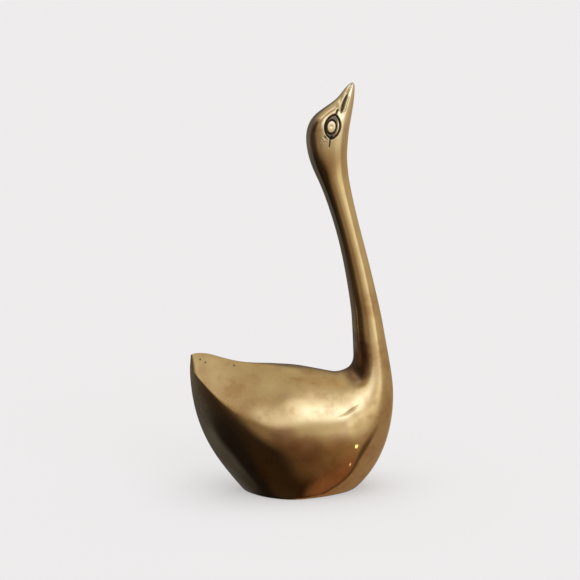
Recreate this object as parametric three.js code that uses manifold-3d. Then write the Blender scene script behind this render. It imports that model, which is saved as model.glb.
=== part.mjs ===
// A cast brass figurine of a long-necked water bird, sitting with its neck drawn up and its beak raised.
// The whole bird is one casting: a boat-shaped body with a creased tail and a flat underside, a tapering
// neck, an egg-shaped head, a pointed beak with a cut mouth line, and a chiselled eye on each side.
// Millimetres, +Z up. The bird looks along +X and is symmetric across the plane y = 0.
// The origin is on the surface it stands on, under the middle of its length.

import * as THREE from "three";
import { mergeVertices } from "three/addons/utils/BufferGeometryUtils.js";
import Module from "manifold-3d";

const wasm = await Module();
wasm.setup();

// Driving dimensions
const HEIGHT = 250; // underside to beak tip
const RINGS = 97; // rings of facets from tail to beak
const FACETS_ROUND = 40; // facets round one ring, a multiple of four so that one edge runs along the crease
const SEAM = 1e-4; // vertices closer than this are one vertex

// The ribs of the bird from tail to beak, each a cut square to the middle plane. A rib says where the cut meets
// the back (x, z) and the belly (x, z), its half width, how far from back to belly it is widest, how sharply its
// side is creased there, from 0, an ellipse, to 1, two straight slopes, and how round the edge of that crease is.
// A crease below 0 makes the side fuller and flatter than an ellipse. The heights are for HEIGHT.
const RIBS = [
  // the blunt tail end
  [-61.9, 86.2, -62.4, 80.0, 0.0, 0.9, 0.9, 0],
  [-60.8, 87.3, -62.4, 73.0, 4.2, 0.56, 0.9, 0],
  // the tail, with its crease between the wing and the rump
  [-57.2, 87.6, -60.7, 57.4, 9.5, 0.4, 0.9, 0],
  [-51.5, 87.1, -56.0, 40.6, 15.0, 0.372, 0.85, 0.02],
  [-44.5, 85.0, -48.3, 24.5, 20.0, 0.369, 0.8, 0.06],
  [-36.0, 82.5, -38.2, 10.2, 24.8, 0.37, 0.75, 0.15],
  // the body, whose belly line dips under the flat that it stands on
  [-26.0, 80.8, -27.4, -3.1, 28.7, 0.368, 0.65, 0.3],
  [-15.5, 80.0, -15.5, -15.5, 30.8, 0.367, 0.4, 0.4],
  [-5.0, 78.9, -4.0, -20.8, 31.3, 0.37, 0.1, 0.4],
  [6.0, 77.5, 6.5, -20.0, 30.8, 0.37, 0, 0.4],
  [22.5, 73.8, 28.9, -7.4, 28.3, 0.385, 0, 0.4],
  // the chest, where the ribs fan round the hollow behind the neck
  [28.0, 73.3, 40.6, 1.2, 25.9, 0.4, 0, 0.4],
  [32.0, 74.8, 50.6, 13.1, 22.2, 0.43, 0, 0.4],
  [35.0, 77.6, 58.1, 29.0, 19.0, 0.46, 0, 0.4],
  [36.6, 81.5, 61.7, 47.0, 16.4, 0.49, 0, 0.4],
  [37.2, 86.5, 62.1, 62.0, 14.5, 0.51, 0, 0.4],
  [37.2, 92.5, 60.2, 77.0, 12.8, 0.52, 0, 0.4],
  // the neck
  [36.4, 107.0, 56.2, 98.5, 10.7, 0.52, 0, 0.4],
  [35.5, 115.0, 53.7, 111.5, 9.9, 0.51, 0, 0.4],
  [32.2, 135.5, 47.0, 139.5, 8.3, 0.5, 0, 0.4],
  [26.9, 159.5, 39.6, 167.0, 7.4, 0.5, 0, 0.4],
  [19.1, 183.5, 34.5, 189.5, 7.8, 0.5, 0, 0.4],
  [14.2, 194.6, 33.2, 198.7, 8.45, 0.5, -0.1, 0.4],
  // the head
  [10.2, 204.5, 32.6, 206.7, 9.55, 0.5, -0.3, 0.4],
  [8.2, 216.0, 33.0, 214.5, 10.3, 0.5, -0.45, 0.4],
  [9.7, 225.0, 33.6, 221.5, 10.1, 0.5, -0.5, 0.4],
  [15.0, 231.6, 34.5, 227.3, 8.9, 0.5, -0.45, 0.4],
  // the beak
  [24.6, 238.3, 36.1, 236.6, 5.7, 0.5, -0.1, 0.4],
  [31.3, 246.9, 36.9, 244.8, 2.7, 0.5, 0, 0.4],
  [34.4, 249.4, 36.8, 248.2, 1.2, 0.5, 0, 0.4],
  [35.9, HEIGHT, 35.9, HEIGHT, 0.0, 0.5, 0, 0.4],
];
const KEEL_CREASE = 0.5; // how much of the crease is left below the widest point, where the sides are rounder

// The chiselled eye, as seen from the side: an almond cut round an oval pupil
const EYE_LEAN = 0.165; // from upright towards the beak, in radians
const LID = { x: 22.55, z: 224.9, half_length: 7.15, half_width: 4.65, pointed: 0.35 };
const PUPIL = { x: 22.1, z: 224.8, half_length: 4.15, half_width: 2.95, pointed: 0 };
const EYE_CUT = { half_width: 0.65, depth: 0.75 };
const CORNER_CUT = [
  [21.2, 218.0],
  [20.5, 212.8],
];
// The mouth is a long cut that narrows from the corner of the beak to its tip.
const MOUTH = [
  [28.1, 233.0],
  [28.9, 236.0],
  [30.1, 239.3],
  [31.8, 242.6],
  [34.2, 246.6],
];
const MOUTH_CUT = { half_width: 0.95, depth: 1.2, taper: 0.35 };
const CUT_STEPS = 28; // steps round the eye
const CUT_LIFT = 0.5; // how far a cutter stands out of the surface

// A rib as a row of numbers that can be blended: its widest point, its reach to back and belly, and its sizes.
function ribRow([backX, backZ, bellyX, bellyZ, halfWidth, widest, crease, rounding]) {
  const x = backX + widest * (bellyX - backX);
  const z = backZ + widest * (bellyZ - backZ);
  return [x, z, backX - x, backZ - z, bellyX - x, bellyZ - z, halfWidth, crease, rounding];
}

// One row beyond each end mirrors the row inside it, so that both ends come out round. At the tail the width
// changes sign through the end, and at the beak every reach does.
const TAIL_SIGNS = [1, 1, 1, 1, 1, 1, -1, 1, 1];
const BEAK_SIGNS = [1, 1, -1, -1, -1, -1, -1, 1, 1];
function withMirroredEnds(rows) {
  const inner = rows.slice(-2)[0];
  return [
    rows[1].map((value, k) => TAIL_SIGNS[k] * value),
    ...rows,
    inner.map((value, k) => BEAK_SIGNS[k] * value),
  ];
}

// A cubic B-spline cuts corners by about a sixth of the second difference, so the control rows stand out by that.
function controlRows() {
  const rows = withMirroredEnds(RIBS.map(ribRow));
  const inside = rows.slice(1, -1).map((row, i) =>
    row.map((value, k) => value - (rows[i][k] - 2 * value + rows[i + 2][k]) / 6),
  );
  return withMirroredEnds(inside);
}
const CONTROL = controlRows();
const LAST_RIB = RIBS.length - 1;

// The blended rib at u, which runs from 0 at the tail to LAST_RIB at the beak tip.
function ribAt(u) {
  const i = Math.min(Math.floor(u), LAST_RIB - 1);
  const t = u - i;
  const weights = [
    (1 - t) ** 3 / 6,
    (3 * t ** 3 - 6 * t ** 2 + 4) / 6,
    (-3 * t ** 3 + 3 * t ** 2 + 3 * t + 1) / 6,
    t ** 3 / 6,
  ];
  return CONTROL[i].map((_, k) => weights.reduce((sum, w, n) => sum + w * CONTROL[i + n][k], 0));
}

// The height of a roof over a slope that runs from 0 at its middle to 1 at its foot. Its ridge is rounded off.
function roof(slope, rounding) {
  const end = Math.hypot(1, rounding);
  return (end - Math.hypot(slope, rounding)) / (end - rounding);
}

// The point of the skin at rib u and angle v. v is 0 on the back, a quarter turn at the widest point and half a
// turn on the belly.
function skin(u, v) {
  const [x, z, backX, backZ, bellyX, bellyZ, halfWidth, fullCrease, rounding] = ribAt(u);
  const up = Math.max(Math.cos(v), 0);
  const down = Math.max(-Math.cos(v), 0);
  const crease = down > 0 ? fullCrease * KEEL_CREASE : fullCrease;
  const creased = Math.sign(Math.sin(v)) * roof(Math.cos(v), Math.max(rounding, 0));
  const side = (1 - crease) * Math.sin(v) + crease * creased;
  return [x + backX * up + bellyX * down, halfWidth * side, z + backZ * up + bellyZ * down];
}

// A closed mesh from rings of points. Every ring has the same number of points. The rings join up into a loop, or
// else the end rings close by themselves where capped is set. Points that coincide become one vertex.
function meshOfRings(rings, { loop = false, capped = false } = {}) {
  const n = rings[0].length;
  const position = rings.flat(2);
  const index = [];
  const ringCount = loop ? rings.length : rings.length - 1;
  for (let i = 0; i < ringCount; i++) {
    const next = (i + 1) % rings.length;
    for (let j = 0; j < n; j++) {
      const k = (j + 1) % n;
      index.push(i * n + j, next * n + j, next * n + k, i * n + j, next * n + k, i * n + k);
    }
  }
  const end = (rings.length - 1) * n;
  for (let j = 1; capped && j < n - 1; j++) {
    index.push(0, j, j + 1, end, end + j + 1, end + j);
  }
  const geometry = new THREE.BufferGeometry();
  geometry.setAttribute("position", new THREE.Float32BufferAttribute(position, 3));
  geometry.setIndex(index);
  return mergeVertices(geometry, SEAM);
}

function solidOf(geometry) {
  const all = geometry.index.array;
  const triVerts = [];
  for (let i = 0; i < all.length; i += 3) {
    const [a, b, c] = [all[i], all[i + 1], all[i + 2]];
    if (a !== b && b !== c && c !== a) triVerts.push(a, b, c);
  }
  const solid = new wasm.Manifold(
    new wasm.Mesh({
      numProp: 3,
      vertProperties: new Float32Array(geometry.attributes.position.array),
      triVerts: new Uint32Array(triVerts),
    }),
  );
  if (solid.volume() > 0) return solid;
  throw new Error("a cutter or the body is inside out");
}

function geometryOf(solid) {
  const mesh = solid.getMesh();
  const geometry = new THREE.BufferGeometry();
  geometry.setAttribute("position", new THREE.BufferAttribute(mesh.vertProperties, 3));
  geometry.setIndex(new THREE.BufferAttribute(mesh.triVerts, 1));
  geometry.computeVertexNormals();
  return geometry;
}

// The casting before anything is cut: rings of facets through every blended rib.
function castingGeometry() {
  const rings = [];
  for (let i = 0; i < RINGS; i++) {
    const u = (LAST_RIB * i) / (RINGS - 1);
    const ring = [];
    for (let j = 0; j < FACETS_ROUND; j++) {
      ring.push(skin(u, (2 * Math.PI * j) / FACETS_ROUND));
    }
    rings.push(ring);
  }
  return meshOfRings(rings);
}

// A box that takes away all that lies under the surface the bird stands on.
function belowTheFloor() {
  const size = 4 * HEIGHT;
  const geometry = new THREE.BoxGeometry(size, size, size).translate(0, 0, -size / 2);
  geometry.deleteAttribute("normal");
  geometry.deleteAttribute("uv");
  return solidOf(mergeVertices(geometry, SEAM));
}

// The points of the almond or oval, as (x, z) seen from the side.
function almond({ x, z, half_length, half_width, pointed }) {
  const points = [];
  for (let i = 0; i < CUT_STEPS; i++) {
    const turn = (2 * Math.PI * i) / CUT_STEPS;
    const along = half_length * Math.cos(turn);
    const across = half_width * Math.sin(turn) * Math.abs(Math.sin(turn)) ** pointed;
    points.push([
      x + along * Math.sin(EYE_LEAN) + across * Math.cos(EYE_LEAN),
      z + along * Math.cos(EYE_LEAN) - across * Math.sin(EYE_LEAN),
    ]);
  }
  return points;
}

// A cutter with a V section that follows the skin along a path of (x, z) points on one side of the bird.
function grooveCutter(skinMesh, path, side, { half_width, depth, taper = 1 }, loop) {
  const ray = new THREE.Raycaster();
  const onSkin = path.map(([x, z]) => {
    ray.set(new THREE.Vector3(x, side * HEIGHT, z), new THREE.Vector3(0, -side, 0));
    const hit = ray.intersectObject(skinMesh)[0];
    return { at: hit.point, out: hit.face.normal };
  });
  const last = path.length - 1;
  const rings = onSkin.map(({ at, out }, i) => {
    const before = onSkin[loop ? (i + last) % (last + 1) : Math.max(i - 1, 0)].at;
    const after = onSkin[loop ? (i + 1) % (last + 1) : Math.min(i + 1, last)].at;
    const across = after.clone().sub(before).cross(out).normalize();
    const narrowing = 1 + (taper - 1) * (i / last);
    const rim = at.clone().addScaledVector(out, CUT_LIFT);
    const reach = (half_width * narrowing * (depth + CUT_LIFT)) / depth;
    return [
      rim.clone().addScaledVector(across, reach),
      rim.clone().addScaledVector(across, -reach),
      at.clone().addScaledVector(out, -depth * narrowing),
    ].map((p) => p.toArray());
  });
  return solidOf(meshOfRings(rings, { loop, capped: !loop }));
}

function birdGeometry() {
  const casting = castingGeometry();
  let bird = solidOf(casting).subtract(belowTheFloor());
  const skinMesh = new THREE.Mesh(casting, new THREE.MeshBasicMaterial({ side: THREE.DoubleSide }));
  for (const side of [1, -1]) {
    const cutters = [
      grooveCutter(skinMesh, almond(LID), side, EYE_CUT, true),
      grooveCutter(skinMesh, almond(PUPIL), side, EYE_CUT, true),
      grooveCutter(skinMesh, CORNER_CUT, side, EYE_CUT, false),
      grooveCutter(skinMesh, MOUTH, side, MOUTH_CUT, false),
    ];
    for (const cutter of cutters) bird = bird.subtract(cutter);
  }
  return geometryOf(bird);
}

const agedBrass = new THREE.MeshStandardMaterial({ color: 0xa67c3c, roughness: 0.32, metalness: 1 });

const figurine = new THREE.Group();
const bird = new THREE.Mesh(birdGeometry(), agedBrass);
bird.name = "bird";
figurine.add(bird);

export default figurine;
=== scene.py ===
# %% [markdown]
# # A cast brass bird in soft studio light
#
# The object is one casting: a slim water bird that sits with its neck drawn up and its beak raised. There
# is no seam or screw to build, so the whole portrait rests on three things: a smooth skin with the right
# swelling and creasing, a little chiselled relief on the head, and old polished metal that mirrors its
# surroundings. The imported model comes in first. It fixes where the bird stands and how large it is, and
# all else follows it.

# %% Load the frame
import math

import bpy
import numpy as np
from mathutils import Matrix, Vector


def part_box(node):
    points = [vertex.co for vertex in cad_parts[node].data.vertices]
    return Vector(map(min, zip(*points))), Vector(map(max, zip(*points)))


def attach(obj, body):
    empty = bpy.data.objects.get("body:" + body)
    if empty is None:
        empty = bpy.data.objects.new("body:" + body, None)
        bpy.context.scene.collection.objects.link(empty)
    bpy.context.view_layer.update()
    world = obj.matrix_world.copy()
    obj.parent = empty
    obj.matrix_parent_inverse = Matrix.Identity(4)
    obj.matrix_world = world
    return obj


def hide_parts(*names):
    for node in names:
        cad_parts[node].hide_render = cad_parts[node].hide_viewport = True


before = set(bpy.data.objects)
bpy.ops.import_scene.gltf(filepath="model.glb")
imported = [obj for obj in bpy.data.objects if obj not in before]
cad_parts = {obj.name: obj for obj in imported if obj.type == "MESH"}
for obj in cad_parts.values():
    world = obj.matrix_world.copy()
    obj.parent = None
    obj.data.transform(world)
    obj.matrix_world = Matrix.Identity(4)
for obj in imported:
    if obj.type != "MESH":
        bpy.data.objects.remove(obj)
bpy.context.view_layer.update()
bird_low, bird_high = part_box("bird")
print("the frame holds", len(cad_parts), "packed piece")
print("the packed bird spans", [round(high - low, 4) for low, high in zip(bird_low, bird_high)], "m")

# %% [markdown]
# ## The camera
#
# The photograph looks at the bird's right side from a little above, and from slightly behind it. A long
# lens at a metre keeps the perspective mild. The camera is placed by two angles and a distance from the
# point that it aims at, which is easier to reason about than three coordinates and three rotations.

# %% Place the camera
AZIMUTH = math.radians(-6.0)
ELEVATION = math.radians(12.0)
DISTANCE = 1.0
AIM = Vector((-0.0015, 0.0, 0.1254))
# in millimetres
LENS, SENSOR_WIDTH = 102.7, 36.0
# the nearest and the farthest thing that the camera shows, in metres
NEAREST, FARTHEST = 0.01, 100.0

camera = bpy.data.objects.new("camera", bpy.data.cameras.new("camera"))
bpy.context.scene.collection.objects.link(camera)
bpy.context.scene.camera = camera
back = Vector(
    (
        math.sin(AZIMUTH) * math.cos(ELEVATION),
        -math.cos(AZIMUTH) * math.cos(ELEVATION),
        math.sin(ELEVATION),
    )
)
camera.location = AIM + back * DISTANCE
camera.rotation_mode = "QUATERNION"
camera.rotation_quaternion = (-back).to_track_quat("-Z", "Y")
camera.data.sensor_width = SENSOR_WIDTH
camera.data.lens = LENS
camera.data.clip_start, camera.data.clip_end = NEAREST, FARTHEST
print("the camera stands at", [round(c, 3) for c in camera.location])

# %% [markdown]
# ## Ribs, as a boat builder would set them up
#
# The bird is one smooth skin over a row of ribs, from the tail through the body, up the neck and along
# the beak. A subdivision cage could carry the same form, but a table of ribs keeps every size readable:
# each rib says where it meets the back and the belly in the middle plane, how wide it is, how high up it
# is widest, and how sharply its side is creased there. The ribs fan out round the hollow behind the neck,
# so that none of them cross. Their sizes are written in millimetres of a bird 250 mm high, and scaled to
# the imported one.

# %% The ribs
RIB_HEIGHT = 250.0
MM = (bird_high.z - bird_low.z) / RIB_HEIGHT

# back x, back z, belly x, belly z, half width, where it is widest (0 back to 1 belly),
# crease (below 0 is full and flat-sided, 1 is a sharp edge), rounding of that edge
TAIL_RIBS = [
    (-61.9, 86.2, -62.4, 80.0, 0.0, 0.9, 0.9, 0.0),
    (-60.8, 87.3, -62.4, 73.0, 4.2, 0.56, 0.9, 0.0),
    (-57.2, 87.6, -60.7, 57.4, 9.5, 0.4, 0.9, 0.0),
    (-51.5, 87.1, -56.0, 40.6, 15.0, 0.372, 0.85, 0.02),
    (-44.5, 85.0, -48.3, 24.5, 20.0, 0.369, 0.8, 0.06),
    (-36.0, 82.5, -38.2, 10.2, 24.8, 0.37, 0.75, 0.15),
]
BODY_RIBS = [
    (-26.0, 80.8, -27.4, -3.1, 28.7, 0.368, 0.65, 0.3),
    (-15.5, 80.0, -15.5, -15.5, 30.8, 0.367, 0.4, 0.4),
    (-5.0, 78.9, -4.0, -20.8, 31.3, 0.37, 0.1, 0.4),
    (6.0, 77.5, 6.5, -20.0, 30.8, 0.37, 0.0, 0.4),
    (22.5, 73.8, 28.9, -7.4, 28.3, 0.385, 0.0, 0.4),
]
CHEST_RIBS = [
    (28.0, 73.3, 40.6, 1.2, 25.9, 0.4, 0.0, 0.4),
    (32.0, 74.8, 50.6, 13.1, 22.2, 0.43, 0.0, 0.4),
    (35.0, 77.6, 58.1, 29.0, 19.0, 0.46, 0.0, 0.4),
    (36.6, 81.5, 61.7, 47.0, 16.4, 0.49, 0.0, 0.4),
    (37.2, 86.5, 62.1, 62.0, 14.5, 0.51, 0.0, 0.4),
    (37.2, 92.5, 60.2, 77.0, 12.8, 0.52, 0.0, 0.4),
]
NECK_RIBS = [
    (36.4, 107.0, 56.2, 98.5, 10.7, 0.52, 0.0, 0.4),
    (35.5, 115.0, 53.7, 111.5, 9.9, 0.51, 0.0, 0.4),
    (32.2, 135.5, 47.0, 139.5, 8.3, 0.5, 0.0, 0.4),
    (26.9, 159.5, 39.6, 167.0, 7.4, 0.5, 0.0, 0.4),
    (19.1, 183.5, 34.5, 189.5, 7.8, 0.5, 0.0, 0.4),
    (14.2, 194.6, 33.2, 198.7, 8.45, 0.5, -0.1, 0.4),
]
HEAD_RIBS = [
    (10.2, 204.5, 32.6, 206.7, 9.55, 0.5, -0.3, 0.4),
    (8.2, 216.0, 33.0, 214.5, 10.3, 0.5, -0.45, 0.4),
    (9.7, 225.0, 33.6, 221.5, 10.1, 0.5, -0.5, 0.4),
    (15.0, 231.6, 34.5, 227.3, 8.9, 0.5, -0.45, 0.4),
]
BEAK_RIBS = [
    (24.6, 238.3, 36.1, 236.6, 5.7, 0.5, -0.1, 0.4),
    (31.3, 246.9, 36.9, 244.8, 2.7, 0.5, 0.0, 0.4),
    (34.4, 249.4, 36.8, 248.2, 1.2, 0.5, 0.0, 0.4),
    (35.9, RIB_HEIGHT, 35.9, RIB_HEIGHT, 0.0, 0.5, 0.0, 0.4),
]
RIBS = np.array(TAIL_RIBS + BODY_RIBS + CHEST_RIBS + NECK_RIBS + HEAD_RIBS + BEAK_RIBS)
print(len(RIBS), "ribs, one rib millimetre is", round(MM * 1000, 4), "mm of the packed bird")

# %% [markdown]
# ## From ribs to a skin
#
# A cubic B-spline through the rows makes the surface flow: every number of a rib, from its place to its
# crease, glides smoothly into that of the next. A B-spline cuts corners by about a sixth of its second
# difference, so the rows are pushed out by just that first. At both ends one mirrored row makes the tail
# and the beak close round.

# %% The blended ribs
# how many places along the bird are looked at where its length or width is measured
FINE_STEPS = 4000
# the numbers of a row that change sign where the skin closes over the tail and over the beak
TAIL_SIGNS = np.array([1, 1, 1, 1, 1, 1, -1, 1, 1])
BEAK_SIGNS = np.array([1, 1, -1, -1, -1, -1, -1, 1, 1])


def rib_rows(ribs):
    """A rib as numbers that can be blended: its widest point, its reaches to back and belly, and its sizes.

    The widest point divides the line from back to belly in the rib's own share.
    """
    back_line, belly_line, half_width, share, creases = np.split(ribs, [2, 4, 5, 6], axis=1)
    widest = back_line + share * (belly_line - back_line)
    return np.hstack([widest, back_line - widest, belly_line - widest, half_width, creases])


def with_mirrored_ends(rows):
    """One more row beyond each end: the row inside it, with the numbers that cross zero there reversed."""
    return np.vstack([TAIL_SIGNS * rows[1], rows, BEAK_SIGNS * rows[-2]])


def control_rows(ribs):
    """Rows for the B-spline: each row less a sixth of its second difference, so that it meets the ribs."""
    rows = with_mirrored_ends(rib_rows(ribs))
    second = rows[:-2] - 2 * rows[1:-1] + rows[2:]
    return with_mirrored_ends(rows[1:-1] - second / 6)


CONTROL = control_rows(RIBS)
LAST_RIB = len(RIBS) - 1


def blended_rib(u):
    """The row at each u: four neighbouring control rows in the weights of a uniform cubic B-spline."""
    i = np.clip(np.floor(u).astype(int), 0, LAST_RIB - 1)
    t = (u - i)[:, None]
    weights = [(1 - t) ** 3, 3 * t**3 - 6 * t**2 + 4, -3 * t**3 + 3 * t**2 + 3 * t + 1, t**3]
    return sum(weight * CONTROL[i + n] for n, weight in enumerate(weights)) / 6


half_widths = blended_rib(np.linspace(0, LAST_RIB, FINE_STEPS))[:, 6]
print("the widest ring has a half width of", round(half_widths.max(), 2), "mm")

# %% [markdown]
# ## Where the grid is fine
#
# A grid has to be dense where the chisel worked, and may be loose on the plain flanks. So the rings are
# spread by a wanted spacing along the bird, and the lines that run from tail to beak crowd towards the
# widest line, where the eyes, the mouth and the tail's crease lie. One line falls exactly on that crease.

# %% Spread the rings and the lines
LINES = 232
CROWDING = 0.42
FLAT_FOOT_ROUNDING = 0.8
KEEL_CREASE = 0.5
# rib number, and the spacing of the rings there in millimetres
SPACING = [(0, 0.5), (4, 0.5), (6, 1.4), (22.3, 1.4), (23.4, 0.26), (28.5, 0.26), (LAST_RIB, 0.4)]


def ring_places():
    """The u of every ring: whole steps of the length along the widest line over the wanted spacing."""
    u = np.linspace(0, LAST_RIB, FINE_STEPS)
    middle = blended_rib(u)[:, 0:2]
    step = np.hypot(*np.diff(middle, axis=0).T)
    wanted = np.interp((u[1:] + u[:-1]) / 2, *zip(*SPACING))
    count = np.concatenate([[0], np.cumsum(step / wanted)])
    return np.interp(np.linspace(0, count[-1], round(count[-1])), count, u)


def line_angles():
    """The angle v of every line: even steps t, shifted by a sine of 2t that draws them to the sides."""
    t = 2 * np.pi * np.arange(LINES) / LINES
    return t + CROWDING / 2 * np.sin(2 * t)


def roof(slope, rounding):
    """The height of a roof with a rounded ridge, over a slope that is 0 at its middle and 1 at its foot.

    The ridge is a hyperbola: the root of the slope's square plus the rounding's, made to fall from 1 to 0.
    """
    end = np.hypot(1, rounding)
    return (end - np.hypot(slope, rounding)) / (end - rounding)


def skin(u, v):
    """Points of the skin over a grid of u and v.

    From the widest point, the cosine of v reaches towards the back or the belly. Sideways, the width goes
    with the sine of v, which is an ellipse, or with a roof, which is two straight slopes, in the measure of
    the crease. Below the widest point the crease counts for less. At the foot's plane the skin is bent flat
    by a smooth maximum with zero: half the sum of z and the root of its square plus the rounding's square.
    """
    widest, to_back, to_belly, sizes = np.split(blended_rib(u), [2, 4, 6], axis=1)
    half_width, crease, rounding = np.split(sizes, 3, axis=1)
    up, down = np.clip(np.cos(v), 0, None), np.clip(-np.cos(v), 0, None)
    crease = crease * np.where(np.cos(v) > 0, 1.0, KEEL_CREASE)
    creased = np.sign(np.sin(v)) * roof(np.cos(v), np.clip(rounding, 0, None))
    side = (1 - crease) * np.sin(v) + crease * creased
    x, z = (widest[:, [k]] + to_back[:, [k]] * up + to_belly[:, [k]] * down for k in range(2))
    z = (z + np.sqrt(z**2 + FLAT_FOOT_ROUNDING**2)) / 2
    return np.stack([x, half_width * side, z], axis=-1)


ring_u = ring_places()
line_v = line_angles()
smooth_skin = skin(ring_u, line_v)
print(len(ring_u), "rings of", LINES, "points,", 2 * len(ring_u) * LINES, "triangles")

# %% [markdown]
# ## Chisel work
#
# The maker cut the eye and the mouth into the cold casting, with a V-shaped chisel. Relief like this can
# be made by boolean cuts, by sculpting, or as here by moving the skin in and out along its normal: a cut
# is then only a function of how far a point is from the cut's line. Each function below gives that
# distance, and one profile turns distance into depth. Distances are taken in the side view, in
# millimetres, and serve both sides alike.

# %% Profiles and distances
def v_cut(distance, half_width, depth):
    """A V-shaped cut: full depth on its line, none at half_width, its bottom and rim a little rounded.

    At a share s of the way in from the rim, the depth's share is s to the power 1.5, times 2.5 less 1.5 s.
    """
    share = np.clip(1 - np.abs(distance) / half_width, 0, 1)
    return -depth * share**1.5 * (2.5 - 1.5 * share)


def swell(distance, reach, height):
    """A soft rise that follows a line: a bell curve of the distance from it."""
    return height * np.exp(-((distance / reach) ** 2))


def along_path(x, z, path):
    """Distance from a path of points (x, z, half width), and the half width at the nearest place on it."""
    nearest = np.full_like(x, np.inf)
    half_width = np.ones_like(x)
    for (x0, z0, width0), (x1, z1, width1) in zip(path, path[1:]):
        share = ((x - x0) * (x1 - x0) + (z - z0) * (z1 - z0)) / ((x1 - x0) ** 2 + (z1 - z0) ** 2)
        share = np.clip(share, 0, 1)
        distance = np.hypot(x - x0 - share * (x1 - x0), z - z0 - share * (z1 - z0))
        half_width = np.where(distance < nearest, width0 + share * (width1 - width0), half_width)
        nearest = np.minimum(nearest, distance)
    return nearest, half_width


# x, z
EYE_MIDDLE = (23.2, 224.8)
# radians, and millimetres towards the corners, the beak and the neck
EYE_LEAN = 0.165
EYE_HALF_LENGTH = 7.15
EYE_FRONT, EYE_REAR = 4.0, 5.05


def eye_axes(x, z):
    """Distances from the eye's middle: along it to its upper corner, and across it towards the beak."""
    dx, dz = x - EYE_MIDDLE[0], z - EYE_MIDDLE[1]
    along = dx * math.sin(EYE_LEAN) + dz * math.cos(EYE_LEAN)
    across = dx * math.cos(EYE_LEAN) - dz * math.sin(EYE_LEAN)
    return along, across


def from_almond(along, across):
    """Distance from an almond's outline, negative inside: two arcs through both corners, one a side."""
    distance = []
    for half_width, sign in ((EYE_FRONT, 1), (EYE_REAR, -1)):
        radius = (EYE_HALF_LENGTH**2 + half_width**2) / (2 * half_width)
        distance.append(np.hypot(along, across + sign * (radius - half_width)) - radius)
    return np.maximum(*distance)


def from_oval(along, across, half_length, half_width):
    """Distance from an oval's outline, near enough: how far out a point is, less 1, by the mean radius."""
    out = np.hypot(along / half_length, across / half_width)
    return (out - 1) * math.sqrt(half_length * half_width)


print("the eye is", 2 * EYE_HALF_LENGTH, "by", EYE_FRONT + EYE_REAR, "mm")

# %% [markdown]
# The eye is an almond cut round an oval pupil, which leaves a lid between the two cuts on the beak's
# side. At its lower corner the cuts run together into one dark hollow. A brow stands up behind it, and a
# stroke leaves each corner.

# %% The eye
PUPIL_SHIFT = (-0.15, -1.25)
PUPIL_HALF = (4.15, 2.95)
# half width, depth of the cuts along the almond and round the pupil
RIM_CUT = (0.82, 0.8)
PUPIL_CUT = (0.78, 0.8)
# x, z, half width along each stroke
CORNER_STROKES = [
    [(24.6, 231.8, 0.8), (25.8, 234.5, 0.7)],
    [(21.2, 218.0, 0.7), (20.5, 212.8, 0.35)],
]
STROKE_DEPTH = 0.5
# x, z, radius, depth of the hollows inside the eye's two corners
EYE_HOLLOWS = [(22.0, 218.9, 1.9, 0.6), (23.5, 230.2, 1.5, 0.4)]
SOCKET_DEPTH = 0.36
# how wide the socket's slopes are at the rim, the pupil and the lid
SOCKET_SLOPES = (0.8, 0.5, 1.2)
LID_EDGE = 2.6
# shift along the eye, reach, height of the dimple in the pupil
DIMPLE = (0.3, 0.9, -0.13)
# distance outside the rim, reach inwards and outwards from there, height of the brow
BROW = (3.0, 2.0, 4.2, 0.75)
# how fast the brow rises towards the eye's upper corner, and towards its rear
BROW_GROWTH = (0.9, 0.35)


def eye_socket(rim, pupil, across):
    """The sunk ground between rim and pupil, with a slope at each, and level with the skin at the lid."""
    rim_slope, pupil_slope, lid_slope = SOCKET_SLOPES
    beside_lid = np.clip((LID_EDGE - across) / lid_slope, 0, 1)
    socket = np.clip(-rim / rim_slope, 0, 1) * np.clip(pupil / pupil_slope, 0, 1) * beside_lid
    return -SOCKET_DEPTH * socket


def eye_brow(rim, along, across):
    """The brow behind the eye: a bell curve of the distance from the rim, steeper on its inner side."""
    distance, reach_in, reach_out, height = BROW
    upwards, rearwards = BROW_GROWTH
    behind = np.clip(upwards * along / EYE_HALF_LENGTH - rearwards * across / EYE_REAR, 0, 1)
    behind = behind * np.clip((EYE_FRONT - across) / EYE_FRONT, 0, 1)
    return swell(rim - distance, np.where(rim < distance, reach_in, reach_out), height) * behind


def eye_relief(x, z):
    """The eye's cuts, and apart from them the dimple in its pupil and the brow that stands up behind it."""
    along, across = eye_axes(x, z)
    rim = from_almond(along, across)
    pupil_along, pupil_across = along - PUPIL_SHIFT[0], across - PUPIL_SHIFT[1]
    pupil = from_oval(pupil_along, pupil_across, *PUPIL_HALF)
    cuts = np.minimum(v_cut(rim, *RIM_CUT), v_cut(pupil, *PUPIL_CUT))
    for stroke in CORNER_STROKES:
        distance, half_width = along_path(x, z, stroke)
        cuts = np.minimum(cuts, v_cut(distance, half_width, STROKE_DEPTH))
    for place_x, place_z, radius, depth in EYE_HOLLOWS:
        hollow = v_cut(np.hypot(x - place_x, z - place_z), radius, depth)
        cuts = np.minimum(cuts, np.where(pupil > 0, hollow, 0))
    cuts = np.minimum(cuts, eye_socket(rim, pupil, across))
    shift, reach, height = DIMPLE
    dimple = swell(np.hypot(pupil_along - shift, pupil_across), reach, height)
    return cuts, dimple + eye_brow(rim, along, across)


print("the pupil is", 2 * PUPIL_HALF[0], "by", 2 * PUPIL_HALF[1], "mm")

# %% [markdown]
# The punch marks are made the same way, from their distances: two short rows of round dents, with a wider
# one that the punch has slipped into above them.

# %% Punch marks
# x, z of the first mark, and the steps along a row and up to the next
PUNCH_CORNER = (15.9, 215.9)
PUNCH_STEP = (1.45, 1.3)
PUNCH_ROWS, PUNCH_COLUMNS = 2, 3
ROW_SHIFT = 0.4
# radius, depth
PUNCH_MARK = (0.55, 0.16)
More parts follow.
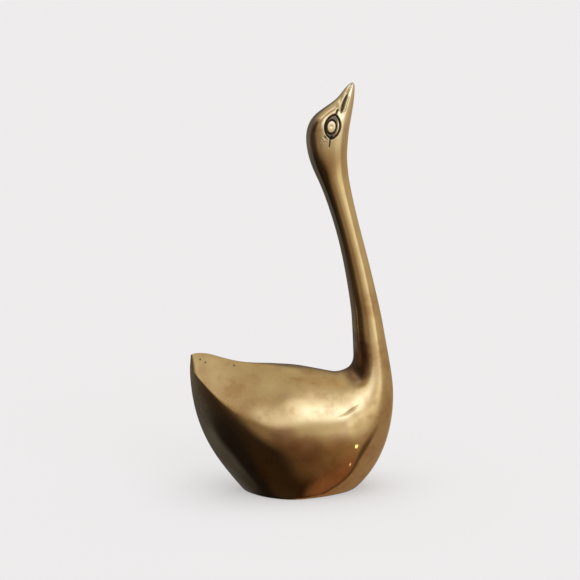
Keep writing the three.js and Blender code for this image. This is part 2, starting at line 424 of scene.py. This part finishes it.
# x, z, radius, depth
PUNCHED_HOLLOW = (18.2, 218.6, 1.4, 0.35)


def punch_marks(x, z):
    """The least of a round V-cut for the wide dent and one for each small mark in its row and column."""
    place_x, place_z, radius, depth = PUNCHED_HOLLOW
    dents = v_cut(np.hypot(x - place_x, z - place_z), radius, depth)
    for row in range(PUNCH_ROWS):
        for column in range(PUNCH_COLUMNS):
            place_x = PUNCH_CORNER[0] + PUNCH_STEP[0] * (column + ROW_SHIFT * row)
            place_z = PUNCH_CORNER[1] + PUNCH_STEP[1] * row
            dents = np.minimum(dents, v_cut(np.hypot(x - place_x, z - place_z), *PUNCH_MARK))
    return dents


print("there are", PUNCH_ROWS * PUNCH_COLUMNS, "punch marks on each side")

# %% [markdown]
# The mouth is one long stroke from the corner of the beak to its tip. The chisel went in deep and wide
# near the corner and came out in a hairline, and it pushed up a small burr on both sides of the cut.

# %% The mouth
# x, z, half width along the cut
MOUTH = [
    (28.1, 233.0, 0.6),
    (28.7, 234.9, 1.05),
    (29.3, 236.9, 1.15),
    (30.1, 239.3, 1.1),
    (31.2, 241.7, 0.95),
    (32.3, 243.7, 0.5),
    (34.6, 247.2, 0.3),
]
# gap between the cut's edge and the burr, reach, height
BURR = (0.4, 0.5, 0.3)
# the half width from which a cut has a burr, and how much wider it is where the burr is full
BURR_FROM, BURR_GROWTH = 0.5, 0.4
# x, z, reach, height
NUB = (26.9, 234.5, 0.7, 0.3)


def mouth_relief(x, z):
    """The mouth's cut, as deep as half its width, and apart from it its burr and the nub at its corner."""
    distance, half_width = along_path(x, z, MOUTH)
    gap, reach, height = BURR
    burr = swell(distance - half_width - gap, reach, height)
    burr = burr * np.clip((half_width - BURR_FROM) / BURR_GROWTH, 0, 1)
    nub_x, nub_z, nub_reach, nub_height = NUB
    nub = swell(np.hypot(x - nub_x, z - nub_z), nub_reach, nub_height)
    return v_cut(distance, half_width, half_width), burr + nub


widest_mouth = 2 * max(half_width for *_, half_width in MOUTH)
print("the mouth's cut is up to", widest_mouth, "mm wide")

# %% [markdown]
# ## Work of the file
#
# The flanks were filed and polished by hand, which leaves slow waves of a few hundredths of a millimetre.
# They can't be seen as shape, but a mirror shows them, because every reflection bends over them. A file
# also cut a deeper hollow on each side of the neck's root, and something has scratched the near flank.

# %% Waves, hollows and a scratch
WAVES = 14
WAVE_SEED = 7
WAVE_LENGTHS = (14.0, 34.0)
WAVE_HEIGHT = 0.035
# x, z, reach, depth
NECK_HOLLOWS = [(37.4, 74.2, 4.6, 1.0), (38.5, 80.5, 5.5, 0.9)]
# x, z, half width along the scratch
SCRATCH = [(25.9, 52.2, 0.5), (31.5, 54.4, 1.2), (35.0, 56.0, 1.3), (37.8, 57.2, 0.6)]
SCRATCH_STEEPNESS = 0.35


def hand_polish(points):
    """Slow waves: a sum of sines in seeded random directions through space."""
    chance = np.random.default_rng(WAVE_SEED)
    total = np.zeros(points.shape[:-1])
    for length in chance.uniform(*WAVE_LENGTHS, WAVES):
        direction = chance.normal(size=3)
        direction *= 2 * np.pi / length / np.linalg.norm(direction)
        total += np.sin(points @ direction + chance.uniform(0, 2 * np.pi))
    return WAVE_HEIGHT * total / math.sqrt(WAVES)


def filed_hollows(x, z):
    """The shallow hollow beside the neck's root, as bell curves that run together."""
    relief = np.zeros_like(x)
    for place_x, place_z, reach, depth in NECK_HOLLOWS:
        relief = relief + swell(np.hypot(x - place_x, z - place_z), reach, -depth)
    return relief


def scratch(points):
    """The scratch on the near flank: a wide and shallow cut along its path."""
    x, y, z = np.moveaxis(points, -1, 0)
    distance, half_width = along_path(x, z, SCRATCH)
    return np.where(y < 0, v_cut(distance, half_width, SCRATCH_STEEPNESS * half_width), 0)


def outward(points):
    """Unit normals of the grid: the cross product of its two directions, with the lines joined up round."""
    ahead = np.gradient(points, axis=0)
    around = np.roll(points, -1, axis=1) - np.roll(points, 1, axis=1)
    normal = np.cross(ahead, around)
    return normal / np.maximum(np.linalg.norm(normal, axis=-1, keepdims=True), 1e-9)


polish = hand_polish(smooth_skin)
print("the waves are up to", round(polish.max(), 3), "mm high")

# %% [markdown]
# All the relief is now added up, and moves the skin along its normal. The waves fade out at the foot, at
# the tail and on the head, where they would bend the small forms. How deep a point lies in a cut is kept
# with the mesh as its grime, because black wax stays in the cuts when the rest is wiped clean.

# %% Carve the skin
# the height over which the waves set in above the foot
FOOT_EASE = 6.0
# the height at which the head is calm, how far below it the waves start to fade, and what is left of them
CALM_HEAD, HEAD_EASE, HEAD_WAVES = 225.0, 40.0, 0.15
# the depths at which a cut and the mouth are full of wax, and the most that the mouth and the scratch hold
GRIME_DEPTH, MOUTH_GRIME_DEPTH = 0.45, 0.8
MOUTH_GRIME, SCRATCH_GRIME = 0.9, 0.3

x, z = smooth_skin[..., 0], smooth_skin[..., 2]
eye_cuts, eye_swells = eye_relief(x, z)
mouth_cuts, mouth_swells = mouth_relief(x, z)
cuts = np.minimum(np.minimum(eye_cuts, mouth_cuts), punch_marks(x, z))
scratched = scratch(smooth_skin)
clear_of_foot = np.clip(z / FOOT_EASE, 0, 1)
clear_of_head = np.clip((CALM_HEAD - z) / HEAD_EASE, HEAD_WAVES, 1)
clear_of_tail = np.clip(ring_u, 0, 1)[:, None]
polish = polish * clear_of_foot * clear_of_head * clear_of_tail
relief = cuts + eye_swells + mouth_swells + polish + filed_hollows(x, z) + scratched
carved_skin = smooth_skin + relief[..., None] * outward(smooth_skin)
grime = np.clip(-cuts / GRIME_DEPTH, 0, 1) * (mouth_cuts == 0)
grime = np.maximum(grime, np.clip(-mouth_cuts / MOUTH_GRIME_DEPTH, 0, MOUTH_GRIME))
grime = np.maximum(grime, np.clip(-scratched, 0, SCRATCH_GRIME))
grimy_points = int((grime > 0.5).sum())
print("the deepest cut is", round(-cuts.min(), 2), "mm, and", grimy_points, "points lie in cuts")

# %% [markdown]
# ## One closed mesh
#
# Neighbouring rings are joined by four-sided faces. At the tail the first ring folds onto itself, so each
# of its points shares a vertex with the one across, and at the beak the last ring is a single vertex.
# Sharing vertices instead of merging them afterwards keeps the mesh closed whatever the rounding.

# %% Make the mesh
def shared_numbers(rings, lines):
    """The vertex number of every grid point: the first ring is folded in two, and the last is one point."""
    number = np.arange(rings * lines).reshape(rings, lines)
    across = (-np.arange(lines)) % lines
    number[0] = np.minimum(number[0], number[0][across])
    number[-1] = number[-1, 0]
    return number


def grid_mesh(name, points, values):
    """A mesh object from a closed grid of points, with one named number for each point as an attribute."""
    rings, lines = points.shape[:2]
    number = shared_numbers(rings, lines)
    ahead, beside = number[1:], np.roll(number, -1, axis=1)
    quads = np.stack([number[:-1], ahead, np.roll(ahead, -1, axis=1), beside[:-1]], axis=-1).reshape(-1, 4)
    used, quads = np.unique(quads, return_inverse=True)
    quads = quads.reshape(-1, 4)
    tip = quads[:, 1] == quads[:, 2]
    mesh = bpy.data.meshes.new(name)
    vertices = points.reshape(-1, 3)[used]
    triangles = quads[tip][:, [0, 1, 3]]
    mesh.from_pydata(vertices.tolist(), [], quads[~tip].tolist() + triangles.tolist())
    for attribute_name, numbers in values.items():
        attribute = mesh.attributes.new(attribute_name, "FLOAT", "POINT")
        attribute.data.foreach_set("value", numbers.reshape(-1)[used].astype(np.float32))
    mesh.shade_smooth()
    made = bpy.data.objects.new(name, mesh)
    bpy.context.scene.collection.objects.link(made)
    return made


figurine = grid_mesh("brass_bird", carved_skin * MM, {"grime": grime})
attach(figurine, "root")
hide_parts("bird")
print(figurine.name, "has", len(figurine.data.vertices), "vertices")

# %% [markdown]
# ## Shader maths as Python
#
# A node tree is a formula drawn as a diagram, and long formulas are easier to read as text. This small
# class wraps one output of a node. Its operators add the Math nodes, and its node method adds anything
# else.

# %% Wires
class Wire:
    """A node's output that can be used in a Python expression."""

    def __init__(self, tree, socket=None):
        self.tree = tree
        self.socket = socket

    def node(self, kind, settings=(), inputs=(), output=0):
        """A new node: its settings first, then the values or wires of its sockets. Gives one output."""
        made = self.tree.nodes.new(kind)
        for name, value in dict(settings).items():
            setattr(made, name, value)
        for name, value in dict(inputs).items():
            if isinstance(value, Wire):
                self.tree.links.new(value.socket, made.inputs[name])
            else:
                made.inputs[name].default_value = value
        return Wire(self.tree, made.outputs[output])

    def math(self, operation, *values):
        """A Math node on values or wires."""
        return self.node("ShaderNodeMath", {"operation": operation}, enumerate(values))

    def __add__(self, other):
        return self.math("ADD", self, other)

    def __sub__(self, other):
        return self.math("SUBTRACT", self, other)

    def __rsub__(self, other):
        return self.math("SUBTRACT", other, self)

    def __mul__(self, other):
        return self.math("MULTIPLY", self, other)

    def __truediv__(self, other):
        return self.math("DIVIDE", self, other)

    def __neg__(self):
        return self.math("MULTIPLY", self, -1)

    __radd__ = __add__
    __rmul__ = __mul__

    def rise(self, low, high):
        """0 below low, 1 above high, and a smooth step between them."""
        span = {"Value": self, "From Min": low, "From Max": high}
        return self.node("ShaderNodeMapRange", {"interpolation_type": "SMOOTHSTEP"}, span)

    def root(self):
        """The square root."""
        return self.math("SQRT", self)

    def held(self):
        """The value, but no more than 1."""
        return self.math("MINIMUM", self, 1.0)

    def blend(self, first, second):
        """The colour first where this wire is 0, and second where it is 1."""
        return self.node("ShaderNodeMix", {"data_type": "RGBA"}, {0: self, 6: first, 7: second}, 2)

    def part(self, axis):
        """One of a vector's three numbers."""
        return self.node("ShaderNodeSeparateXYZ", (), {0: self}, axis)

    def scaled(self, *factors):
        """A vector with each of its three numbers multiplied by its own factor."""
        return self.node("ShaderNodeVectorMath", {"operation": "MULTIPLY"}, {0: self, 1: factors})

    def noise(self, scale, detail, roughness):
        """Noise over the vector that this wire carries, mostly between 0.3 and 0.7."""
        inputs = {"Vector": self, "Scale": scale, "Detail": detail, "Roughness": roughness}
        return self.node("ShaderNodeTexNoise", (), inputs)


def colour(red, green, blue):
    """A solid colour from its three linear parts."""
    return (red, green, blue, 1.0)


# %% [markdown]
# ## Old polished brass
#
# Clean brass is a mirror with a warm yellow tint. Years of handling have left the head paler, and tarnish
# has dulled the rest in patches: the lower flanks and the front of the neck are browner, from tarnish and
# from painted shade, some spots are darkened with painted shade, and some are pinkish, where the zinc has
# leached out. Painted shade darkens the crevices beside the neck's root, and the cuts hold black wax. The
# tint varies in slow clouds, and the gloss in finer ones.
# Sand castings also keep small pits where gas was trapped, most of them near the tail here. A painted map
# could carry all this, but tables of soft round spots are easy to read and to move. Spots and noise read
# object coordinates, so the pattern stays on the metal wherever the figurine goes.

# %% The brass
BRASS = colour(0.86, 0.67, 0.38)
PALE_BRASS = colour(0.95, 0.80, 0.53)
BROWN_BRASS = colour(0.67, 0.45, 0.235)
SHADED_BRASS = colour(0.42, 0.25, 0.15)
PINK_BRASS = colour(0.78, 0.55, 0.42)
GREY_BRASS = colour(0.80, 0.76, 0.70)
CREVICE_SHADE = colour(0.17, 0.09, 0.055)
GRIME = colour(0.035, 0.026, 0.02)
# the camera's side of the bird and the other one, as the sign of y
NEAR, FAR = -1, 1
# side, x, z, radius in millimetres, and strength of the brown stains, the spots of painted shade and the
# pink stains
# the brown stains are tarnish, and painted shade in the hollow beside the neck's root, on the front of the
# neck and on the rump
BROWN_STAINS_AND_SHADE = [
    (NEAR, 38.5, 75.0, 8.0, 0.9),
    (FAR, 38.5, 75.0, 8.0, 0.9),
    (NEAR, -34.0, 62.0, 18.0, 0.5),
    (NEAR, 8.0, 71.0, 11.0, 0.3),
    (NEAR, 14.0, 12.0, 26.0, 0.35),
    (NEAR, 45.5, 118.0, 11.0, 1.0),
    (NEAR, 52.0, 84.0, 14.0, 0.8),
    (NEAR, 50.0, 58.0, 17.0, 0.35),
    (NEAR, 27.0, 42.0, 9.0, 0.5),
]
# spots of painted shade: below the flank's highlight and down the dark side of the neck's root
SHADE_SPOTS = [
    (NEAR, -8.0, 40.0, 13.0, 0.8),
    (NEAR, 6.0, 34.0, 14.0, 0.75),
    (NEAR, 39.8, 86.0, 7.0, 0.6),
    (NEAR, 40.2, 96.0, 6.0, 0.5),
]
PINK_STAINS = [(NEAR, 25.0, 44.0, 10.0, 1.0), (NEAR, -8.0, 66.0, 8.0, 0.4)]
# side, x, z, radius of the places beside the neck's root that painted shade darkens
SHADED_CREVICES = [
    (NEAR, 37.0, 74.5, 8.5),
    (NEAR, 39.6, 82.0, 6.0),
    (NEAR, 41.6, 76.5, 6.0),
    (NEAR, 42.2, 81.5, 5.5),
    (NEAR, 42.3, 86.5, 5.2),
    (NEAR, 42.2, 91.5, 4.8),
    (FAR, 37.0, 74.5, 8.5),
]
# x, z, radius of a dull place on the back
DULL_BACK = (20.0, 76.0, 22.0)
# side, x, z, radius of each pit in millimetres
PITS = [
    (NEAR, -56.4, 84.4, 0.75),
    (NEAR, -53.4, 82.9, 0.7),
    (NEAR, -36.0, 80.3, 0.75),
    (NEAR, -57.0, 63.6, 0.75),
    (NEAR, -57.0, 61.1, 0.7),
    (NEAR, -53.7, 57.9, 0.9),
    (NEAR, -57.4, 54.6, 0.65),
    (NEAR, -53.6, 55.9, 0.7),
    (FAR, -50.2, 70.1, 0.7),
    (FAR, -55.0, 60.5, 0.6),
]
# the share of its radius in which a spot is full, and how far from the middle plane its side sets in
SPOT_HEART = 0.3
MIDDLE_FADE = 0.5


def spot(point, side, x, z, radius):
    """A round spot on one side of the bird, full in its heart and gone at its radius.

    Its distance is taken in the side view: the root of the squares of x and z, in shares of the radius.
    """
    dx = (point.part(0) - x * MM) / (radius * MM)
    dz = (point.part(2) - z * MM) / (radius * MM)
    this_side = (point.part(1) * side).rise(0.0, MIDDLE_FADE * MM)
    return (1 - (dx * dx + dz * dz).root().rise(SPOT_HEART, 1.0)) * this_side


def spots(point, places):
    """The sum of spots of full strength, held at 1."""
    return sum(spot(point, *place) for place in places).held()


def weighted_spots(point, places):
    """The sum of spots of different strengths, held at 1."""
    return sum(spot(point, *place) * strength for *place, strength in places).held()


print("the brass has", len(BROWN_STAINS_AND_SHADE + SHADE_SPOTS + PINK_STAINS), "stains and", len(PITS), "pits")

# %% [markdown]
# The tint starts as clean brass. Each kind of tarnish, and the painted shade, is then blended over it by
# its
# own mask: a number from 0 to 1 that comes from a zone of the bird, from its stains and spots, from noise,
# or from their product.

# %% The tint
# scale, detail and roughness of the noise
CLOUDS = (38.0, 4.0, 0.6)
MOTTLE = (150.0, 5.0, 0.65)
STREAKS = (420.0, 3.0, 0.6)
STREAK_LENGTHENING = 0.25
# heights in millimetres between which each zone sets in
# the low flank is darker, by tarnish and by painted shade
LOW_FLANK_TARNISH_AND_SHADE = (26.0, 48.0)
ABOVE_BODY = (82.0, 100.0)
HANDLED_HEAD = (200.0, 222.0)
BEAK_TIP = (245.5, 250.0)
# values of the noise between which each mask rises
BROWN_CLOUDS = (0.48, 0.66)
BROWN_FLECKS = (0.52, 0.66)
STAIN_FLECKS = (0.38, 0.6)
PINK_FLECKS = (0.42, 0.6)
# how much brown each cause brings
BROWN = {
    "clouds": 0.4,
    "mottle": 0.12,
    "mottle on the body": 0.2,
    "weighted_spots": 0.55,
    "mottle in the stains": 0.6,
    "low flank tarnish and shade": 0.3,
}
# how grey the beak's tip is, and how much painted shade covers the metal in a crevice
GREY_TIP = 0.7
CREVICE_SHADE_SHARE = 0.75


def browning(point, clouds, mottle, on_body):
    """How brown the brass is: the sum of what clouds, mottle, stains with painted shade, and the tarnish
    and painted shade of the low flanks bring, held at 1.
    """
    # the low flanks are darker: tarnish and painted shade
    low_flank_tarnish_and_shade = 1 - (point.part(2) / MM).rise(*LOW_FLANK_TARNISH_AND_SHADE)
    mottled = mottle.rise(*BROWN_FLECKS) * (BROWN["mottle"] + BROWN["mottle on the body"] * on_body)
    in_stains_and_shade = BROWN["weighted_spots"] + BROWN["mottle in the stains"] * mottle.rise(*STAIN_FLECKS)
    brown = clouds.rise(*BROWN_CLOUDS) * BROWN["clouds"] + mottled
    brown = brown + weighted_spots(point, BROWN_STAINS_AND_SHADE) * in_stains_and_shade + low_flank_tarnish_and_shade * BROWN["low flank tarnish and shade"]
    return brown.held()


def tarnished_tint(point, clouds, mottle, on_body, shaded_crevices):
    """The metal's colour: brass, then each tarnish and each painted shade over it in turn."""
    height = point.part(2) / MM
    pinkish = weighted_spots(point, PINK_STAINS) * mottle.rise(*PINK_FLECKS)
    tint = height.rise(*HANDLED_HEAD).blend(BRASS, PALE_BRASS)
    tint = browning(point, clouds, mottle, on_body).blend(tint, BROWN_BRASS)
    # spots of painted shade
    tint = weighted_spots(point, SHADE_SPOTS).blend(tint, SHADED_BRASS)
    tint = pinkish.blend(tint, PINK_BRASS)
    tint = (height.rise(*BEAK_TIP) * GREY_TIP).blend(tint, GREY_BRASS)
    # painted shade: the crevices beside the neck's root turn dark
    return (shaded_crevices * CREVICE_SHADE_SHARE).blend(tint, CREVICE_SHADE)


print("the brown comes from:", ", ".join(BROWN))

# %% [markdown]
# The gloss is worn in zones too. The low flanks are the brightest mirror, the back and the rump are dull,
# and fine streaks run up the bird, as a polishing cloth leaves them. Wax, and the crevices darkened with
# painted shade, are duller than metal.

# %% The gloss and the finished brass
# heights in millimetres between which each zone sets in, and for the rump, places along the bird
UPPER_BODY = (30.0, 60.0)
BACK = (64.0, 76.0)
UPPER_NECK = (190.0, 205.0)
AHEAD_OF_RUMP = (-40.0, 5.0)
# values of the noise between which each mask rises
HAZE_CLOUDS = (0.35, 0.7)
HAZE_FLECKS = (0.4, 0.7)
CLOTH_STREAKS = (0.45, 0.7)
# how much roughness each cause brings
DULLNESS = {
    "everywhere": 0.05,
    "upper body and neck": 0.05,
    "upper body": 0.035,
    "back": 0.08,
    "rump": 0.1,
    "upper neck and head": 0.04,
    "dull back": 0.15,
    "haze": 0.015,
    "haze above": 0.035,
    "streaks": 0.03,
    "shaded_crevices": 0.08,
    "wax": 0.35,
}
# how much of the metal's mirror wax takes away, and the gloss of the wax itself
WAX_COVER = 0.5
WAX_SPECULAR = 0.15
# shares of the mottle and the streaks, depth in metres and strength of the grain
GRAIN = (0.6, 0.25, 0.00006, 0.6)


def worn_gloss(point, clouds, mottle, streaks, on_body):
    """The metal's roughness: the sum of what its zones, its dull place, the haze and the streaks bring."""
    height = point.part(2) / MM
    upper = height.rise(*UPPER_BODY)
    back = height.rise(*BACK) * on_body
    rump = (1 - (point.part(0) / MM).rise(*AHEAD_OF_RUMP)) * on_body
    haze = clouds.rise(*HAZE_CLOUDS) + mottle.rise(*HAZE_FLECKS)
    gloss = DULLNESS["everywhere"] + upper * DULLNESS["upper body and neck"]
    gloss = gloss + upper * on_body * DULLNESS["upper body"] + back * DULLNESS["back"]
    gloss = gloss + upper * rump * DULLNESS["rump"]
    gloss = gloss + height.rise(*UPPER_NECK) * DULLNESS["upper neck and head"]
    gloss = gloss + spot(point, NEAR, *DULL_BACK) * DULLNESS["dull back"]
    gloss = gloss + haze * (DULLNESS["haze"] + DULLNESS["haze above"] * upper)
    return gloss + streaks.rise(*CLOTH_STREAKS) * DULLNESS["streaks"]


def aged_brass():
    """The material of the whole casting."""
    material = bpy.data.materials.new("aged_brass")
    material.use_nodes = True
    tree = material.node_tree
    shader = tree.nodes["Principled BSDF"]
    start = Wire(tree)
    point = start.node("ShaderNodeTexCoord", output=3)
    clouds, mottle = point.noise(*CLOUDS), point.noise(*MOTTLE)
    streaks = point.scaled(1.0, 1.0, STREAK_LENGTHENING).noise(*STREAKS)
    on_body = 1 - (point.part(2) / MM).rise(*ABOVE_BODY)
    cuts = start.node("ShaderNodeAttribute", {"attribute_name": "grime"}, output=2)
    wax = (cuts + spots(point, PITS)).held()
    # the crevices beside the neck's root that painted shade darkens
    shaded_crevices = spots(point, SHADED_CREVICES)

    tint = wax.blend(tarnished_tint(point, clouds, mottle, on_body, shaded_crevices), GRIME)
    roughness = worn_gloss(point, clouds, mottle, streaks, on_body)
    roughness = roughness + shaded_crevices * DULLNESS["shaded_crevices"] + wax * DULLNESS["wax"]
    tree.links.new(tint.socket, shader.inputs["Base Color"])
    tree.links.new(roughness.socket, shader.inputs["Roughness"])
    tree.links.new((1 - wax * WAX_COVER).socket, shader.inputs["Metallic"])
    shader.inputs["Specular IOR Level"].default_value = WAX_SPECULAR
    mottle_share, streak_share, depth, strength = GRAIN
    grain = mottle * mottle_share + streaks * streak_share
    bump = start.node("ShaderNodeBump", (), {"Height": grain, "Distance": depth, "Strength": strength})
    tree.links.new(bump.socket, shader.inputs["Normal"])
    return material


figurine.data.materials.append(aged_brass())
print("materials:", [m.name for m in figurine.data.materials])

# %% [markdown]
# ## A room for the mirror
#
# Polished metal shows its surroundings, so the light has to be a place and not just lamps. The
# photograph's reflections tell what stood around the bird: a tall cool window in front and to the right
# with a pale sill under it, a smaller window high up on the left, warm walls, a dark doorway, and a dark
# floor with something coppery on it. Each is a soft patch on the sky round the bird, given by its
# direction: the azimuth counts from the camera's side, positive towards the beak. Patches that come later
# in the table lie over the earlier ones.
#
# The room lights the metal and the floor. What looks straight at the world, as the camera does beyond the
# floor's edge, gets a plain pale ground instead: the light path tells the two kinds of ray apart.

# %% The room
# name: azimuth from, its softness, to, its softness, the same four for the elevation, and the colour
WALLS = colour(0.5, 0.43, 0.32)
ALL_ROUND = (-200, 1, 200, 1)
ROOM = {
    "ceiling": (*ALL_ROUND, 60, 8, 100, 1, colour(0.46, 0.4, 0.29)),
    "ceiling light": (12, 18, 130, 25, 53, 5, 68, 9, colour(0.62, 0.55, 0.43)),
    "brown floor": (*ALL_ROUND, -100, 1, -18, 9, colour(0.29, 0.175, 0.09)),
    "dim side": (-200, 1, -22, 24, -100, 1, 30, 18, colour(0.05, 0.033, 0.022)),
    "dim floor left": (-200, 1, 20, 36, -100, 1, -25, 9, colour(0.025, 0.016, 0.01)),
    "dim floor near": (-200, 1, 40, 20, -100, 1, -42, 9, colour(0.03, 0.016, 0.008)),
    "left wall": (-60, 14, -2, 14, 4, 18, 58, 5, colour(0.37, 0.29, 0.19)),
    "left wall foot": (-40, 17, 1, 14, -24, 9, 6, 14, colour(0.25, 0.18, 0.115)),
    "doorway": (-112, 9, -64, 13, -26, 8, 40, 12, colour(0.045, 0.028, 0.018)),
    "rear left": (-200, 20, -112, 9, -25, 10, 24, 16, colour(0.13, 0.12, 0.13)),
    "high window": (-105, 14, -42, 12, 50, 7, 70, 6, colour(1.1, 1.08, 1.0)),
    "window top": (36, 12, 72, 9, 44, 8, 60, 6, colour(0.9, 0.88, 0.8)),
    "window": (-5, 8, 54, 4, 7, 11, 51, 7, colour(1.02, 1.0, 0.94)),
    "window middle": (12, 9, 50, 5, 13, 8, 37, 7, colour(1.4, 1.54, 1.75)),
    "sill": (25, 9, 58, 8, -15, 5, 3, 6, colour(0.78, 0.73, 0.58)),
    "low pane": (40, 6, 57, 4, -4, 4, 8, 4, colour(0.98, 0.95, 0.84)),
    "low right wall": (66, 8, 170, 20, -30, 8, -1, 5, colour(0.4, 0.31, 0.21)),
    "shade of the bird": (-200, 1, 66, 16, -100, 1, -57, 5, colour(0.035, 0.02, 0.012)),
    "copper pot": (38, 12, 70, 8, -62, 5, -36, 7, colour(0.24, 0.112, 0.056)),
    "table": (72, 3, 140, 20, -60, 9, -12, 6, colour(0.32, 0.235, 0.16)),
    "table edge": (66, 2, 74, 2, -70, 8, -20, 6, colour(0.11, 0.065, 0.037)),
    "dark corner": (-200, 1, -66, 18, -100, 1, -26, 8, colour(0.012, 0.01, 0.009)),
    "rear floor": (-200, 1, -98, 6, -50, 9, -20, 8, colour(0.08, 0.085, 0.1)),
}
# azimuth, elevation, brightness of the two small lamps
LAMPS = [(60, -25, 5.5), (57, -42, 1.8)]
# degrees
LAMP_RADIUS, LAMP_EDGE = 1.0, 0.5
LAMP_LIGHT = colour(1.0, 0.85, 0.55)
# the pale ground that is seen beyond the floor's edge
BACKDROP = colour(0.855, 0.84, 0.84)


def between(angle, low, low_soft, high, high_soft):
    """1 from low to high in degrees, with a soft edge at each, across the turn at 180 degrees too."""
    middle = (low + high) / 2
    away = (angle - middle).math("WRAP", angle - middle, 180.0, -180.0)
    above = away.rise(low - middle - low_soft, low - middle + low_soft)
    return above * (1 - away.rise(high - middle - high_soft, high - middle + high_soft))


def close_to(angle, middle):
    """1 within a lamp's radius of its angle in degrees, with a soft edge."""
    return between(angle, middle - LAMP_RADIUS, LAMP_EDGE, middle + LAMP_RADIUS, LAMP_EDGE)


def room_light():
    """The world: warm walls with every patch blended over them in turn, and pale where seen directly."""
    world = bpy.data.worlds.new("room")
    bpy.context.scene.world = world
    world.use_nodes = True
    tree = world.node_tree
    start = Wire(tree)
    direction = start.node("ShaderNodeTexCoord", output=0)
    x, y, z = (direction.part(axis) for axis in range(3))
    azimuth = x.math("ARCTAN2", x, -y) * math.degrees(1)
    elevation = z.math("ARCSINE", z) * math.degrees(1)
    light = start.node("ShaderNodeRGB")
    light.socket.default_value = WALLS
    for *edges, tone in ROOM.values():
        patch = between(azimuth, *edges[:4]) * between(elevation, *edges[4:])
        light = patch.blend(light, tone)
    for lamp_azimuth, lamp_elevation, brightness in LAMPS:
        glow = close_to(azimuth, lamp_azimuth) * close_to(elevation, lamp_elevation)
        light = glow.blend(light, tuple(brightness * part for part in LAMP_LIGHT))
    seen_directly = start.node("ShaderNodeLightPath")
    shown = seen_directly.blend(light, BACKDROP)
    tree.links.new(shown.socket, tree.nodes["Background"].inputs["Color"])


room_light()
print("the room has", len(ROOM), "patches and", len(LAMPS), "lamps")

# %% [markdown]
# ## Pale floor
#
# The bird stands on a plain pale sheet that fills the picture. In the photograph the metal doesn't mirror
# that pale ground but a dark one, so the sheet is hidden from mirror rays, and so is the broad overhead
# light. About half of the sheet's brightness is its own, as on a light table, and that keeps the shade
# under the bird faint.

# %% Floor and overhead light
PAPER = colour(0.35, 0.3575, 0.385)
PAPER_GLOW = colour(0.453, 0.446, 0.446)
# metres
PAPER_RADIUS = 30.0
RIM_POINTS = 96
# degrees across, and watts a square metre
SUN_ANGLE = 60.0
SUN_STRENGTH = 1.94


def disc(name, radius, height):
    """A flat round sheet: one point in the middle and a ring of points round it."""
    turn = 2 * np.pi * np.arange(RIM_POINTS) / RIM_POINTS
    ring = np.stack([radius * np.cos(turn), radius * np.sin(turn), np.full(RIM_POINTS, height)], axis=-1)
    faces = [(RIM_POINTS, k, (k + 1) % RIM_POINTS) for k in range(RIM_POINTS)]
    mesh = bpy.data.meshes.new(name)
    mesh.from_pydata(ring.tolist() + [(0, 0, height)], [], faces)
    made = bpy.data.objects.new(name, mesh)
    bpy.context.scene.collection.objects.link(made)
    return made


def paper():
    """A matt, nearly white material that glows a little."""
    material = bpy.data.materials.new("paper")
    material.use_nodes = True
    shader = material.node_tree.nodes["Principled BSDF"]
    shader.inputs["Base Color"].default_value = PAPER
    shader.inputs["Roughness"].default_value = 1.0
    shader.inputs["Specular IOR Level"].default_value = 0.0
    shader.inputs["Emission Color"].default_value = PAPER_GLOW
    shader.inputs["Emission Strength"].default_value = 1.0
    return material


floor = disc("floor", PAPER_RADIUS, 0.0)
floor.data.materials.append(paper())
floor.visible_glossy = False

sun = bpy.data.objects.new("overhead", bpy.data.lights.new("overhead", "SUN"))
bpy.context.scene.collection.objects.link(sun)
sun.data.energy = SUN_STRENGTH
sun.data.angle = math.radians(SUN_ANGLE)
sun.visible_glossy = False
bpy.context.scene.view_settings.view_transform = "Standard"
print("the floor is", 2 * PAPER_RADIUS, "m across")
